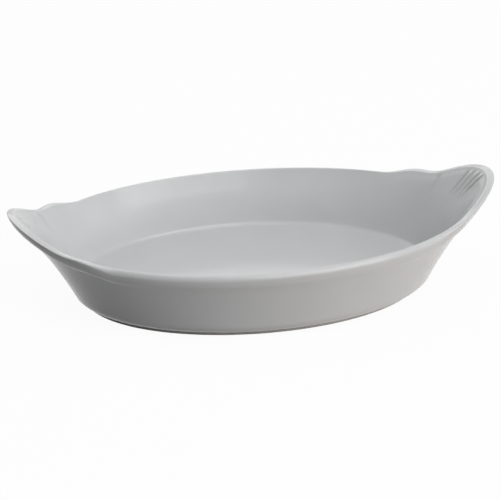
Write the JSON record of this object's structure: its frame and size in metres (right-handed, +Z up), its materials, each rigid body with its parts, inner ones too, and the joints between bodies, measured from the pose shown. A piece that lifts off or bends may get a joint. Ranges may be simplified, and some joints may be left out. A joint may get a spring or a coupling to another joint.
{
  "type": "gratin dish",
  "caption": "Oval glazed gratin dish with flared walls, a rounded lip, a lobed and fluted ear handle at each end and a low bare foot ring, for baking and serving.",
  "frame": {"origin": "centre of the oval on the plane that the foot ring stands on", "axes": "+X along the dish's length towards the right ear, +Y across it, +Z up"},
  "size_m": [0.3348, 0.177, 0.0695],
  "materials": {
    "fired_clay": "bare fired clay, matt, pale and slightly warm, seen only on the foot ring",
    "glaze": "satin pale grey glaze"
  },
  "bodies": {
    "root": {"clay_pan": "fired_clay", "left_ear": "fired_clay", "right_ear": "fired_clay", "foot_ring": "fired_clay", "glaze_coat": "glaze", "underside_glaze": "glaze"}
  },
  "joints": []
}
